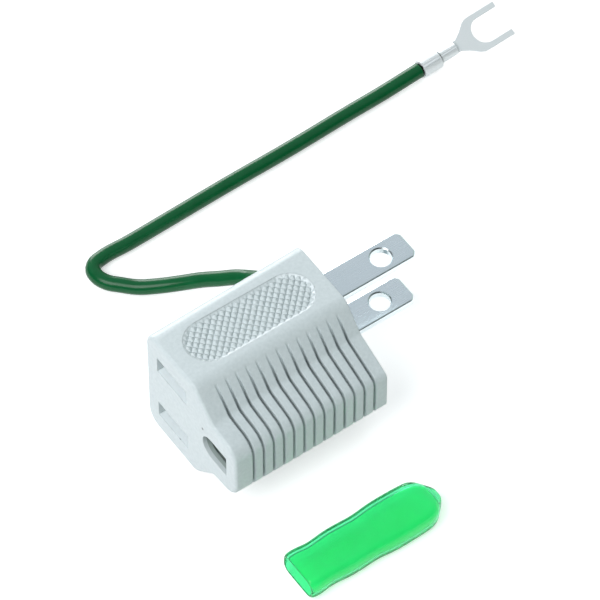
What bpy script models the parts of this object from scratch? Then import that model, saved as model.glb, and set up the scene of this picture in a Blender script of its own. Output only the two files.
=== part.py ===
"""Grounding plug adapter: a moulded adapter body that takes a three-pin plug and ends in
two flat blades, with a green earth wire, a fork terminal and a loose terminal cap.

Metres, +Z up. The origin is the middle of the plug face. +X runs out along the blades,
the wire leaves on the +Y side, and the earth pin's arm is on the -Y side.
"""

import math

import bmesh
import bpy
from mathutils import Euler, Matrix, Vector

NAME = "grounding_plug_adapter"
UP = Vector((0, 0, 1))

# Clearance between pieces that touch
GAP = 0.0003
# How far a cutter runs past the face that it opens
OVERSHOOT = 0.001

# Body: its section changes evenly from the socket face to the plug face
BODY_LENGTH = 0.0309
BODY_HALF_HEIGHT = 0.01245
SIDE_AT_SOCKET = 0.0074
SIDE_AT_PLUG = 0.0077
SIDE_EDGE_AT_SOCKET = 0.0030
SIDE_EDGE_AT_PLUG = 0.0021
SHOULDER_OUT = 0.0068
SHOULDER_RADIUS = 0.0030
NECK_AT_SOCKET = 0.0122
NECK_AT_PLUG = 0.0110
NECK_RADIUS = 0.0020
ARM_END = 0.0188
ARM_ROOT_AT_SOCKET = 0.0070
ARM_TIP_AT_SOCKET = 0.0066
ARM_ROOT_AT_PLUG = 0.0076
ARM_TIP_AT_PLUG = 0.0044
ARM_CORNER_AT_SOCKET = 0.0035
ARM_CORNER_AT_PLUG = 0.0014
SOCKET_EDGE_RADIUS = 0.0006
ARC_STEPS = 5

# Grooves across the arm, between flat ribs
GROOVE_COUNT = 13
GROOVE_FROM_SOCKET = 0.00375
GROOVE_FROM_PLUG = 0.0025
GROOVE_WIDTH = 0.00062
GROOVE_DRAFT = 0.0001
GROOVE_DEPTH_ON_ARM = 0.0010
GROOVE_DEPTH_AT_END = 0.0006
GROOVE_START = 0.0080
GROOVE_RUNOUT = 0.0022

# Sunk grip panel on the top and on the bottom
PANEL_LENGTH = 0.0252
PANEL_WIDTH = 0.0087
PANEL_DEPTH = 0.00045
PANEL_TO_PLUG_FACE = 0.0026
PANEL_Y = -0.0004
PANEL_ARC_STEPS = 12

# Blades
BLADE_Z = 0.00635
BLADE_WIDTH = 0.0061
BLADE_Y = 0.0002
BLADE_THICKNESS = 0.0015
BLADE_REACH = 0.0180
BLADE_ROOT = 0.0090
BLADE_TIP_CORNER = 0.0009
BLADE_EDGE = 0.0004
BLADE_HOLE_RADIUS = 0.0019
BLADE_HOLE_FROM_TIP = 0.0057
BLADE_HOLE_CHAMFER = 0.0002

# Blade slots in the socket face
SLOT_WIDTH = 0.0086
SLOT_HEIGHT = 0.0037
SLOT_Y = -0.0002
SOCKET_WALL = 0.0033
PLUG_WALL = 0.0019

# Spring leaves that hold the plug's blades, and the rivets that fix them
LEAF_THICKNESS = 0.0005
LEAF_WIDTH = 0.0060
LEAF_STRAIGHT_END = 0.0105
LEAF_PINCH_X = 0.0225
LEAF_PINCH_GAP = 0.0009
LEAF_MOUTH_OFFSET = 0.0017
LEAF_FRONT_CLEARANCE = 0.0016
RIVET_X = 0.0060
RIVET_RADIUS = 0.0010
RIVET_HEAD_RADIUS = 0.0018
RIVET_HEAD = 0.0004

# Earth pin's mouth, sleeve and pocket
EARTH_Y = 0.0119
MOUTH_LENGTH = 0.0069
MOUTH_CENTRE = 0.0126
MOUTH_HEIGHT = 0.0050
MOUTH_WALL = 0.0015
SLEEVE_INNER_RADIUS = 0.0025
SLEEVE_INSET = 0.0048
SLEEVE_END = 0.0150
SLEEVE_SLIT_DEGREES = 24
EARTH_SHEET = 0.0005
EARTH_POCKET_END = 0.0140
NECK_STRIP_WIDTH = 0.0030
CRIMP_POCKET_LOW_Y = 0.0140
CRIMP_POCKET_HIGH_Y = 0.0048
CRIMP_POCKET_END = 0.0017

# Earth wire
WIRE_RADIUS = 0.0014
WIRE_EXIT_X = 0.0036
WIRE_INSULATION_END_Y = 0.0079
WIRE_POINT_SPACING = 0.0013
CONDUCTOR_RADIUS = 0.00075
CONDUCTOR_INNER_LENGTH = 0.0046
CRIMP_LENGTH = 0.0040
# How far the wire lies above the surface
WIRE_LIFT = 0.00005

# Fork terminal, in its own frame: origin at the fork's round, +X to the tips
FORK_X = 0.0648
FORK_Y = 0.0411
FORK_HEIGHT = 0.0022
FORK_ROLL_DEGREES = 23
FORK_YAW_DEGREES = 3
FORK_SHEET = 0.0005
FORK_SLOT_RADIUS = 0.0025
FORK_HALF_WIDTH = 0.00355
FORK_REACH = 0.0045
FORK_SHOULDER = 0.0016
FORK_NECK = 0.0060
FORK_NECK_HALF_WIDTH = 0.0011
# Per cent of the way from the shoulder to the neck, and of the neck's widening there
FORK_SHOULDER_POINTS = ((66, 34), (30, 84), (10, 98))
BARREL_OFFSET = -0.0003
BARREL_START = 0.0067
BARREL_LENGTH = 0.0035
BARREL_INNER_RADIUS = 0.0007
STRAND_RADIUS = 0.00045
GRIP_LENGTH = 0.0039
GRIP_INNER_RADIUS = 0.0012
GRIP_TO_BARREL = 0.0004
CRIMP_SEAM_DEGREES = 30
SPINE_HALF_WIDTH = 0.00077
# How far behind the grip the wire is in line with it
WIRE_STRAIGHT = 0.0031

# Terminal cap, lying on the surface beside the arm
CAP_X = -0.0012
CAP_Y = -0.0354
CAP_LENGTH = 0.0289
CAP_WIDTH = 0.0091
CAP_HEIGHT = 0.0054
CAP_CORNER = 0.0016
# The most that a corner's radius takes of a section's height
CAP_CORNER_SHARE = 0.42
CAP_WALL = 0.00095
CAP_CORNER_STEPS = 4
# Per cent of the length, of the width and of the height, from the closed end to the mouth
CAP_STATIONS = (
    (0, 18, 16),
    (1.5, 35, 28),
    (4, 53, 46),
    (7, 73, 66),
    (9.5, 85, 84),
    (13, 93, 95),
    (17, 97, 100),
    (40, 100, 100),
    (48, 94, 94),
    (54.5, 92, 92),
    (61, 94, 95),
    (67.5, 95, 96),
    (74, 95, 95),
    (84, 88, 88),
    (89.5, 93, 92),
    (95.5, 96, 93),
    (100, 93, 86),
)

FLOOR = -BODY_HALF_HEIGHT
LEAF_OFFSET = BLADE_THICKNESS / 2 + GAP + LEAF_THICKNESS / 2
POCKET_HALF_HEIGHT = LEAF_OFFSET + LEAF_THICKNESS / 2 + GAP + RIVET_HEAD + GAP
POCKET_HALF_WIDTH = BLADE_WIDTH / 2 + 2 * GAP
SLEEVE_RADIUS = SLEEVE_INNER_RADIUS + EARTH_SHEET / 2
SLEEVE_OUTER = SLEEVE_INNER_RADIUS + EARTH_SHEET
EARTH_POCKET_HALF = SLEEVE_OUTER + GAP
CRIMP_INNER = CONDUCTOR_RADIUS + GAP
CRIMP_MIDDLE = CRIMP_INNER + EARTH_SHEET / 2
CONDUCTOR_START_Y = WIRE_INSULATION_END_Y + GAP
WIRE_BORE = WIRE_RADIUS + GAP
BARREL_MIDDLE = BARREL_INNER_RADIUS + FORK_SHEET / 2
GRIP_MIDDLE = GRIP_INNER_RADIUS + FORK_SHEET / 2
GRIP_START = BARREL_START + BARREL_LENGTH + GRIP_TO_BARREL
WIRE_AXIS = FLOOR + WIRE_RADIUS + WIRE_LIFT

# The wire's middle from where it leaves the body to the straight run on the surface
ROUTE_FROM_BODY = (
    (-0.0036, 0.0110, FLOOR + 0.0122),
    (-0.0035, 0.0136, FLOOR + 0.0107),
    (-0.0043, 0.0164, FLOOR + 0.0087),
    (-0.0054, 0.0180, FLOOR + 0.0079),
    (-0.0074, 0.0202, FLOOR + 0.0066),
    (-0.0093, 0.0225, FLOOR + 0.0052),
    (-0.0122, 0.0252, FLOOR + 0.0035),
    (-0.0147, 0.0273, FLOOR + 0.0024),
)
ROUTE_ON_SURFACE = (
    (-0.0181, 0.0302),
    (-0.0199, 0.0320),
    (-0.0216, 0.0339),
    (-0.0223, 0.0357),
    (-0.0222, 0.0373),
    (-0.0212, 0.0384),
    (-0.0194, 0.0388),
    (-0.0140, 0.0388),
    (-0.0060, 0.0390),
    (0.0075, 0.0394),
    (0.0210, 0.0396),
    (0.0345, 0.0401),
    (0.0420, 0.0403),
)


def collection(name, hidden):
    made = bpy.data.collections.new(name)
    bpy.context.scene.collection.children.link(made)
    made.hide_render = hidden
    return made


def material(name, colour, roughness, metallic=0.0, transmission=0.0):
    made = bpy.data.materials.new(name)
    made.use_nodes = True
    surface = made.node_tree.nodes["Principled BSDF"]
    surface.inputs["Base Color"].default_value = (*colour, 1.0)
    surface.inputs["Roughness"].default_value = roughness
    surface.inputs["Metallic"].default_value = metallic
    surface.inputs["Transmission Weight"].default_value = transmission
    return made


def mesh_object(name, bm):
    """A new object from the bmesh, with its faces turned outwards."""
    bmesh.ops.recalc_face_normals(bm, faces=bm.faces)
    mesh = bpy.data.meshes.new(name)
    bm.to_mesh(mesh)
    bm.free()
    return bpy.data.objects.new(name, mesh)


def finish(obj, surface, smooth_degrees=40):
    """Puts a piece in the object's collection with its material and shading."""
    obj.data.materials.append(surface)
    obj.data.shade_smooth()
    obj.data.set_sharp_from_angle(angle=math.radians(smooth_degrees))
    PARTS.objects.link(obj)
    return obj


def change(obj, other, operation="DIFFERENCE"):
    """A Boolean of obj with the other object, which becomes a helper."""
    CUTTERS.objects.link(other)
    other.hide_render = True
    other.display_type = "WIRE"
    boolean = obj.modifiers.new(other.name, "BOOLEAN")
    boolean.operation = operation
    boolean.solver = "EXACT"
    boolean.object = other


def block(name, low, high):
    low = Vector(low)
    high = Vector(high)
    bm = bmesh.new()
    matrix = Matrix.Translation((low + high) / 2) @ Matrix.Diagonal((*(high - low), 1))
    bmesh.ops.create_cube(bm, size=1, matrix=matrix)
    return mesh_object(name, bm)


def rod(name, start, end, radius, segments=24):
    """A closed cylinder between two points."""
    start = Vector(start)
    along = Vector(end) - start
    turn = along.to_track_quat("Z", "Y").to_matrix().to_4x4()
    bm = bmesh.new()
    bmesh.ops.create_cone(
        bm,
        cap_ends=True,
        segments=segments,
        radius1=radius,
        radius2=radius,
        depth=along.length,
        matrix=Matrix.Translation(start + along / 2) @ turn,
    )
    return mesh_object(name, bm)


def turned(name, profile, steps=28):
    """A body of revolution round Z from (radius, height) points, top to bottom."""
    mesh = bpy.data.meshes.new(name)
    points = [(radius, 0, height) for radius, height in profile]
    edges = [(i, i + 1) for i in range(len(points) - 1)]
    mesh.from_pydata(points, edges, [])
    obj = bpy.data.objects.new(name, mesh)
    screw = obj.modifiers.new("turn", "SCREW")
    screw.steps = steps
    screw.render_steps = steps
    screw.use_merge_vertices = True
    screw.merge_threshold = 0.00001
    return obj


def outline_solid(name, outline, half_thickness):
    """A flat outline in XY made solid, half of its thickness to each side of the plane."""
    curve = bpy.data.curves.new(name, "CURVE")
    curve.dimensions = "2D"
    curve.fill_mode = "BOTH"
    curve.extrude = half_thickness
    spline = curve.splines.new("POLY")
    spline.points.add(len(outline) - 1)
    for point, (x, y) in zip(spline.points, outline):
        point.co = (x, y, 0, 1)
    spline.use_cyclic_u = True
    guide = bpy.data.objects.new(name + "_outline", curve)
    bpy.context.scene.collection.objects.link(guide)
    graph = bpy.context.evaluated_depsgraph_get()
    mesh = bpy.data.meshes.new_from_object(guide.evaluated_get(graph))
    bpy.data.objects.remove(guide)
    bm = bmesh.new()
    bm.from_mesh(mesh)
    bpy.data.meshes.remove(mesh)
    bmesh.ops.remove_doubles(bm, verts=bm.verts, dist=0.000001)
    return mesh_object(name, bm)


def lofted(name, rings):
    """A closed solid through rings that all have the same number of points."""
    bm = bmesh.new()
    loops = [[bm.verts.new(point) for point in ring] for ring in rings]
    for near, far in zip(loops, loops[1:]):
        for i, vert in enumerate(near):
            following = (i + 1) % len(near)
            bm.faces.new((vert, near[following], far[following], far[i]))
    bm.faces.new(loops[0])
    bm.faces.new(loops[-1])
    return mesh_object(name, bm)


def sheet_strip(name, path, half_width, thickness):
    """A sheet bent along (x, z) points, as wide as it says along Y."""
    bm = bmesh.new()
    near = [bm.verts.new((x, -half_width, z)) for x, z in path]
    far = [bm.verts.new((x, half_width, z)) for x, z in path]
    for i in range(len(path) - 1):
        bm.faces.new((near[i], near[i + 1], far[i + 1], far[i]))
    obj = mesh_object(name, bm)
    thicken(obj, thickness)
    return obj


def rolled_sheet(name, radius, length, seam_degrees, thickness, segments=18):
    """A sheet rolled round the X axis from x = 0, open by the seam at the top."""
    first = math.radians(90 + seam_degrees / 2)
    turn = math.radians(360 - seam_degrees)
    bm = bmesh.new()
    near = []
    far = []
    for i in range(segments + 1):
        angle = first + turn * i / segments
        y = radius * math.cos(angle)
        z = radius * math.sin(angle)
        near.append(bm.verts.new((0, y, z)))
        far.append(bm.verts.new((length, y, z)))
    for i in range(segments):
        bm.faces.new((near[i], near[i + 1], far[i + 1], far[i]))
    obj = mesh_object(name, bm)
    thicken(obj, thickness)
    return obj


def thicken(obj, thickness):
    solidify = obj.modifiers.new("sheet", "SOLIDIFY")
    solidify.thickness = thickness
    solidify.offset = 0
    solidify.use_even_offset = True


def between(at_socket, at_plug, share):
    return at_socket + (at_plug - at_socket) * share


def rounded(corners, steps):
    """The points of a polyline in (y, z), with each inner corner (y, z, radius) rounded."""
    points = [Vector(corners[0][:2])]
    for before, corner, after in zip(corners, corners[1:], corners[2:]):
        middle = Vector(corner[:2])
        radius = corner[2]
        back = (Vector(before[:2]) - middle).normalized()
        ahead = (Vector(after[:2]) - middle).normalized()
        half = back.angle(ahead) / 2
        centre = middle + (back + ahead).normalized() * (radius / math.sin(half))
        start = middle + back * (radius / math.tan(half)) - centre
        turn = -back.angle_signed(-ahead)
        for i in range(steps + 1):
            points.append(centre + Matrix.Rotation(turn * i / steps, 2) @ start)
    points.append(Vector(corners[-1][:2]))
    return points


def body_section(share):
    """The upper half of the body's section, from the +Y side to the arm's end."""
    side = between(SIDE_AT_SOCKET, SIDE_AT_PLUG, share)
    corners = (
        (side, 0),
        (side, BODY_HALF_HEIGHT, between(SIDE_EDGE_AT_SOCKET, SIDE_EDGE_AT_PLUG, share)),
        (-SHOULDER_OUT, BODY_HALF_HEIGHT, SHOULDER_RADIUS),
        (
            -between(NECK_AT_SOCKET, NECK_AT_PLUG, share),
            between(ARM_ROOT_AT_SOCKET, ARM_ROOT_AT_PLUG, share),
            NECK_RADIUS,
        ),
        (
            -ARM_END,
            between(ARM_TIP_AT_SOCKET, ARM_TIP_AT_PLUG, share),
            between(ARM_CORNER_AT_SOCKET, ARM_CORNER_AT_PLUG, share),
        ),
        (-ARM_END, 0),
    )
    return rounded(corners, ARC_STEPS)


def body_ring(x, groove, inset):
    """The closed section at x, with a share of the groove's depth and an inset all round."""
    upper = body_section(1 + x / BODY_LENGTH)
    loop = upper + [Vector((point[0], -point[1])) for point in reversed(upper[1:-1])]
    ring = []
    for i, point in enumerate(loop):
        behind = (point - loop[i - 1]).normalized()
        ahead = (loop[(i + 1) % len(loop)] - point).normalized()
        along = (behind + ahead).normalized()
        outward = Vector((along[1], -along[0]))
        ramp = min(max((-point[0] - GROOVE_START) / GROOVE_RUNOUT, 0), 1)
        depth = between(GROOVE_DEPTH_AT_END, GROOVE_DEPTH_ON_ARM, abs(outward[1]))
        sunk = (groove * ramp * depth + inset) / behind.dot(along)
        moved = point - outward * sunk
        ring.append((x, moved[0], moved[1]))
    return ring


def body_solid():
    """The body through its sections, with the ribbed arm and the rounded socket edge."""
    rings = []
    for i in range(ARC_STEPS - 1):
        angle = math.radians(90) * i / (ARC_STEPS - 2)
        x = -BODY_LENGTH + SOCKET_EDGE_RADIUS * (1 - math.cos(angle))
        rings.append(body_ring(x, 0, SOCKET_EDGE_RADIUS * (1 - math.sin(angle))))
    first = -BODY_LENGTH + GROOVE_FROM_SOCKET
    pitch = (-GROOVE_FROM_PLUG - first) / (GROOVE_COUNT - 1)
    for i in range(GROOVE_COUNT):
        middle = first + pitch * i
        wide = GROOVE_WIDTH / 2
        narrow = wide - GROOVE_DRAFT
        rings.append(body_ring(middle - wide, 0, 0))
        rings.append(body_ring(middle - narrow, 1, 0))
        rings.append(body_ring(middle + narrow, 1, 0))
        rings.append(body_ring(middle + wide, 0, 0))
    rings.append(body_ring(0, 0, 0))
    body = lofted("housing", rings)
    bm = bmesh.new()
    bm.from_mesh(body.data)
    flat = math.radians(0.02)
    bmesh.ops.dissolve_limit(bm, angle_limit=flat, verts=bm.verts, edges=bm.edges)
    bmesh.ops.triangulate(bm, faces=bm.faces)
    bm.to_mesh(body.data)
    bm.free()
    return body


def panel_outline():
    radius = PANEL_WIDTH / 2
    outline = []
    for end in (1, -1):
        middle = -PANEL_TO_PLUG_FACE - PANEL_LENGTH / 2 + end * (PANEL_LENGTH / 2 - radius)
        for i in range(PANEL_ARC_STEPS + 1):
            angle = math.radians(180 * i / PANEL_ARC_STEPS - 90 * end)
            outline.append((middle + radius * math.cos(angle), radius * math.sin(angle)))
    return outline


def cut_body(body):
    """Opens the grip panels, the slots and pockets, the earth mouth and the wire's bore."""
    for side, word in ((1, "top"), (-1, "bottom")):
        panel = outline_solid("panel_" + word, panel_outline(), PANEL_DEPTH)
        panel.location = (0, PANEL_Y, side * BODY_HALF_HEIGHT)
        change(body, panel)
    for side, word in ((1, "upper"), (-1, "lower")):
        z = side * BLADE_Z
        slot = block(
            "slot_" + word,
            (-BODY_LENGTH - OVERSHOOT, SLOT_Y - SLOT_WIDTH / 2, z - SLOT_HEIGHT / 2),
            (-BODY_LENGTH + SOCKET_WALL + GAP, SLOT_Y + SLOT_WIDTH / 2, z + SLOT_HEIGHT / 2),
        )
        change(body, slot)
        pocket = block(
            "pocket_" + word,
            (-BODY_LENGTH + SOCKET_WALL, BLADE_Y - POCKET_HALF_WIDTH, z - POCKET_HALF_HEIGHT),
            (-PLUG_WALL, BLADE_Y + POCKET_HALF_WIDTH, z + POCKET_HALF_HEIGHT),
        )
        change(body, pocket)
        slit_width = BLADE_WIDTH / 2 + GAP
        slit_height = BLADE_THICKNESS / 2 + GAP
        slit = block(
            "slit_" + word,
            (-PLUG_WALL - GAP, BLADE_Y - slit_width, z - slit_height),
            (OVERSHOOT, BLADE_Y + slit_width, z + slit_height),
        )
        change(body, slit)
    change(body, mouth_cutter())
    change(body, earth_pocket_cutter())
    bore = rod(
        "wire_bore",
        (-WIRE_EXIT_X, -CRIMP_POCKET_HIGH_Y - GAP, 0),
        (-WIRE_EXIT_X, SIDE_AT_PLUG + OVERSHOOT, 0),
        WIRE_BORE,
    )
    change(body, bore)


def mouth_cutter():
    """The earth pin's mouth: round towards the slots and flat towards the arm's end."""
    radius = MOUTH_HEIGHT / 2
    far = MOUTH_LENGTH / 2
    outline = [(-radius, -far), (radius, -far)]
    for i in range(PANEL_ARC_STEPS + 1):
        angle = math.radians(180 * i / PANEL_ARC_STEPS)
        outline.append((radius * math.cos(angle), far - radius + radius * math.sin(angle)))
    half_depth = (MOUTH_WALL + OVERSHOOT + GAP) / 2
    cutter = outline_solid("earth_mouth", outline, half_depth)
    cutter.rotation_euler.y = math.radians(90)
    cutter.location.x = -BODY_LENGTH - OVERSHOOT + half_depth
    cutter.location.y = -MOUTH_CENTRE
    return cutter


def earth_pocket_cutter():
    """The room for the earth sleeve and, towards the plug face, for the wire's crimp."""
    start = -BODY_LENGTH + MOUTH_WALL
    high = -EARTH_Y + EARTH_POCKET_HALF
    low = -EARTH_Y - EARTH_POCKET_HALF
    outline = (
        (start, low),
        (-EARTH_POCKET_END, low),
        (-EARTH_POCKET_END, -CRIMP_POCKET_LOW_Y),
        (-CRIMP_POCKET_END, -CRIMP_POCKET_LOW_Y),
        (-CRIMP_POCKET_END, -CRIMP_POCKET_HIGH_Y),
        (-EARTH_POCKET_END, -CRIMP_POCKET_HIGH_Y),
        (-EARTH_POCKET_END, high),
        (start, high),
    )
    return outline_solid("earth_pocket", outline, EARTH_POCKET_HALF)


def blade(name, z):
    """A flat blade with its tip corners cut off, its edges eased and its hole."""
    obj = block(
        name,
        (-BLADE_ROOT, -BLADE_WIDTH / 2, -BLADE_THICKNESS / 2),
        (BLADE_REACH, BLADE_WIDTH / 2, BLADE_THICKNESS / 2),
    )
    bm = bmesh.new()
    bm.from_mesh(obj.data)
    tip = [
        edge
        for edge in bm.edges
        if all(abs(vert.co.x - BLADE_REACH) < GAP for vert in edge.verts)
        and abs(edge.verts[0].co.z - edge.verts[1].co.z) > GAP
    ]
    bmesh.ops.bevel(bm, geom=tip, offset=BLADE_TIP_CORNER, segments=1, affect="EDGES")
    bm.to_mesh(obj.data)
    bm.free()
    ease = obj.modifiers.new("edges", "BEVEL")
    ease.width = BLADE_EDGE
    ease.segments = 3
    half = BLADE_THICKNESS / 2
    rim = BLADE_HOLE_RADIUS + BLADE_HOLE_CHAMFER
    hole = turned(
        name + "_hole",
        (
            (0, half + OVERSHOOT),
            (rim + OVERSHOOT, half + OVERSHOOT),
            (BLADE_HOLE_RADIUS, half - BLADE_HOLE_CHAMFER),
            (BLADE_HOLE_RADIUS, BLADE_HOLE_CHAMFER - half),
            (rim + OVERSHOOT, -half - OVERSHOOT),
            (0, -half - OVERSHOOT),
        ),
    )
    hole.location = (BLADE_REACH - BLADE_HOLE_FROM_TIP, BLADE_Y, z)
    change(obj, hole)
    obj.location = (0, BLADE_Y, z)
    change(obj, rivet_hole(name, z))
    return obj


def rivet_hole(name, z):
    reach = POCKET_HALF_HEIGHT * UP
    middle = Vector((-RIVET_X, BLADE_Y, z))
    return rod(name + "_rivet_hole", middle - reach, middle + reach, RIVET_RADIUS + GAP, 16)


def leaf(name, z, side):
    """A spring leaf on one side of a blade's root, bent in to a pinch and out to a mouth."""
    pinch = (LEAF_PINCH_GAP + LEAF_THICKNESS) / 2
    front = -BODY_LENGTH + SOCKET_WALL + LEAF_FRONT_CLEARANCE
    path = (
        (-PLUG_WALL - GAP, side * LEAF_OFFSET),
        (-LEAF_STRAIGHT_END, side * LEAF_OFFSET),
        (-LEAF_STRAIGHT_END - LEAF_WIDTH / 2, side * (LEAF_OFFSET + pinch) / 2),
        (-LEAF_PINCH_X + LEAF_THICKNESS, side * pinch),
        (-LEAF_PINCH_X - LEAF_THICKNESS, side * pinch),
        (front, side * LEAF_MOUTH_OFFSET),
    )
    obj = sheet_strip(name, path, LEAF_WIDTH / 2, LEAF_THICKNESS)
    obj.location = (0, BLADE_Y, z)
    change(obj, rivet_hole(name, z))
    return obj


def rivet(name, z):
    under_head = LEAF_OFFSET + LEAF_THICKNESS / 2 + GAP
    top = under_head + RIVET_HEAD
    obj = turned(
        name,
        (
            (0, top),
            (RIVET_HEAD_RADIUS, top),
            (RIVET_HEAD_RADIUS, under_head),
            (RIVET_RADIUS, under_head),
            (RIVET_RADIUS, -under_head),
            (RIVET_HEAD_RADIUS, -under_head),
            (RIVET_HEAD_RADIUS, -top),
            (0, -top),
        ),
        16,
    )
    obj.location = (-RIVET_X, BLADE_Y, z)
    return obj


def earth_contact():
    """The sleeve round the earth pin, with the strip to the crimp that holds the wire."""
    front = -BODY_LENGTH + SLEEVE_INSET
    length = -SLEEVE_END - front
    sleeve = rolled_sheet(
        "ground_contact", SLEEVE_RADIUS, length, SLEEVE_SLIT_DEGREES, EARTH_SHEET
    )
    sleeve.location = (front, -EARTH_Y, 0)
    low = -SLEEVE_RADIUS + EARTH_SHEET / 4
    crimp_low = -CRIMP_MIDDLE - EARTH_SHEET / 4
    path = (
        (-SLEEVE_END - EARTH_SHEET, low),
        (-SLEEVE_END + SLEEVE_RADIUS * 2, low),
        (-WIRE_EXIT_X - CRIMP_MIDDLE - 2 * GAP, crimp_low),
        (-WIRE_EXIT_X + CRIMP_MIDDLE / 3, crimp_low),
    )
    strip = sheet_strip("earth_strip", path, NECK_STRIP_WIDTH / 2, EARTH_SHEET)
    strip.location.y = -EARTH_Y
    change(sleeve, strip, "UNION")
    crimp = rolled_sheet(
        "earth_crimp", CRIMP_MIDDLE, CRIMP_LENGTH, CRIMP_SEAM_DEGREES, EARTH_SHEET
    )
    crimp.rotation_euler.z = math.radians(-90)
    crimp.location = (-WIRE_EXIT_X, -CONDUCTOR_START_Y - 2 * GAP, 0)
    change(sleeve, crimp, "UNION")
    return sleeve


def smooth_route(points):
    """Evenly spaced points of a smooth curve through the route's own points."""
    lengths = [(b - a).length for a, b in zip(points, points[1:])]
    slopes = [(b - a) / gone for a, b, gone in zip(points, points[1:], lengths)]
    tangents = [slopes[0]]
    for i in range(1, len(slopes)):
        behind = lengths[i - 1]
        ahead = lengths[i]
        mixed = slopes[i - 1] * ahead + slopes[i] * behind
        tangents.append(mixed / (behind + ahead))
    tangents.append(slopes[-1])
    fine = []
    for i, gone in enumerate(lengths):
        for step in range(32):
            t = step / 32
            fine.append(
                points[i] * (2 * t**3 - 3 * t**2 + 1)
                + tangents[i] * (gone * (t**3 - 2 * t**2 + t))
                + points[i + 1] * (3 * t**2 - 2 * t**3)
                + tangents[i + 1] * (gone * (t**3 - t**2))
            )
    fine.append(points[-1])
    return evenly_spaced(fine)


def evenly_spaced(fine):
    total = sum((b - a).length for a, b in zip(fine, fine[1:]))
    count = round(total / WIRE_POINT_SPACING)
    spacing = total / count
    even = [fine[0]]
    walked = 0.0
    for a, b in zip(fine, fine[1:]):
        step = (b - a).length
        while len(even) < count and walked + step >= spacing * len(even):
            even.append(a.lerp(b, (spacing * len(even) - walked) / step))
        walked += step
    even.append(fine[-1])
    return even


def terminal_frame():
    """The fork terminal's place on the surface, as a matrix."""
    turn = Euler((math.radians(FORK_ROLL_DEGREES), 0, math.radians(FORK_YAW_DEGREES)))
    place = Vector((FORK_X, FORK_Y, FLOOR + FORK_HEIGHT))
    return Matrix.Translation(place) @ turn.to_matrix().to_4x4()


def earth_wire():
    """The wire from its crimp in the body to the grip of the fork terminal."""
    frame = terminal_frame()
    grip_front = frame @ Vector((-GRIP_START - GAP, 0, BARREL_OFFSET))
    grip_back = frame @ Vector((-GRIP_START - GRIP_LENGTH - GAP, 0, BARREL_OFFSET))
    free_end = grip_back + frame.to_3x3() @ Vector((-WIRE_STRAIGHT, 0, 0))
    points = [
        Vector((-WIRE_EXIT_X, -WIRE_INSULATION_END_Y, 0)),
        Vector((-WIRE_EXIT_X, 0, 0)),
        Vector((-WIRE_EXIT_X, SIDE_AT_PLUG, 0)),
    ]
    points += [Vector(point) for point in ROUTE_FROM_BODY]
    points += [Vector((x, y, WIRE_AXIS)) for x, y in ROUTE_ON_SURFACE]
    route = smooth_route([*points, free_end])
    squeezed = (GRIP_INNER_RADIUS - GAP) / WIRE_RADIUS
    radii = [1.0] * len(route) + [squeezed, squeezed]
    route += [grip_back, grip_front]
    curve = bpy.data.curves.new("earth_wire", "CURVE")
    curve.dimensions = "3D"
    curve.bevel_depth = WIRE_RADIUS
    curve.bevel_resolution = 2
    curve.use_fill_caps = True
    spline = curve.splines.new("POLY")
    spline.points.add(len(route) - 1)
    for point, place, radius in zip(spline.points, route, radii):
        point.co = (*place, 1)
        point.radius = radius
    return bpy.data.objects.new("earth_wire", curve)


def fork_outline():
    """The fork's flat outline: neck, shoulders, two prongs and the slot between them."""
    neck = FORK_NECK_HALF_WIDTH
    wide = FORK_HALF_WIDTH
    half = [(-FORK_NECK - FORK_SHEET, neck), (-FORK_NECK, neck)]
    for back, out in FORK_SHOULDER_POINTS:
        x = -between(FORK_SHOULDER, FORK_NECK, back / 100)
        half.append((x, between(neck, wide, out / 100)))
    half += [
        (-FORK_SHOULDER + FORK_SHEET, wide),
        (FORK_REACH, wide),
        (FORK_REACH, FORK_SLOT_RADIUS),
    ]
    arc = []
    for i in range(PANEL_ARC_STEPS + 1):
        angle = math.radians(90 + 180 * i / PANEL_ARC_STEPS)
        arc.append((FORK_SLOT_RADIUS * math.cos(angle), FORK_SLOT_RADIUS * math.sin(angle)))
    return [*half, *arc, *((x, -y) for x, y in reversed(half))]


def fork_terminal():
    """One stamped and rolled sheet: fork, conductor barrel and insulation grip."""
    terminal = outline_solid("fork_terminal", fork_outline(), FORK_SHEET / 2)
    barrel_low = BARREL_OFFSET - BARREL_MIDDLE - FORK_SHEET / 8
    grip_low = BARREL_OFFSET - GRIP_MIDDLE - FORK_SHEET / 8
    path = (
        (-GRIP_START - GRIP_LENGTH + FORK_SHEET / 2, grip_low),
        (-GRIP_START - FORK_SHEET / 2, grip_low),
        (-GRIP_START + GRIP_TO_BARREL + FORK_SHEET / 2, barrel_low),
        (-BARREL_START - FORK_SHEET / 2, barrel_low),
        (-FORK_NECK, -FORK_SHEET / 4),
        (-FORK_NECK + FORK_SHEET, -FORK_SHEET / 4),
    )
    spine = sheet_strip("terminal_spine", path, SPINE_HALF_WIDTH, FORK_SHEET)
    change(terminal, spine, "UNION")
    barrel = rolled_sheet(
        "terminal_barrel", BARREL_MIDDLE, BARREL_LENGTH, CRIMP_SEAM_DEGREES, FORK_SHEET
    )
    barrel.location = (-BARREL_START - BARREL_LENGTH, 0, BARREL_OFFSET)
    change(terminal, barrel, "UNION")
    grip = rolled_sheet(
        "terminal_grip", GRIP_MIDDLE, GRIP_LENGTH, CRIMP_SEAM_DEGREES, FORK_SHEET
    )
    grip.location = (-GRIP_START - GRIP_LENGTH, 0, BARREL_OFFSET)
    change(terminal, grip, "UNION")
    return [terminal, spine, barrel, grip]


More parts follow.
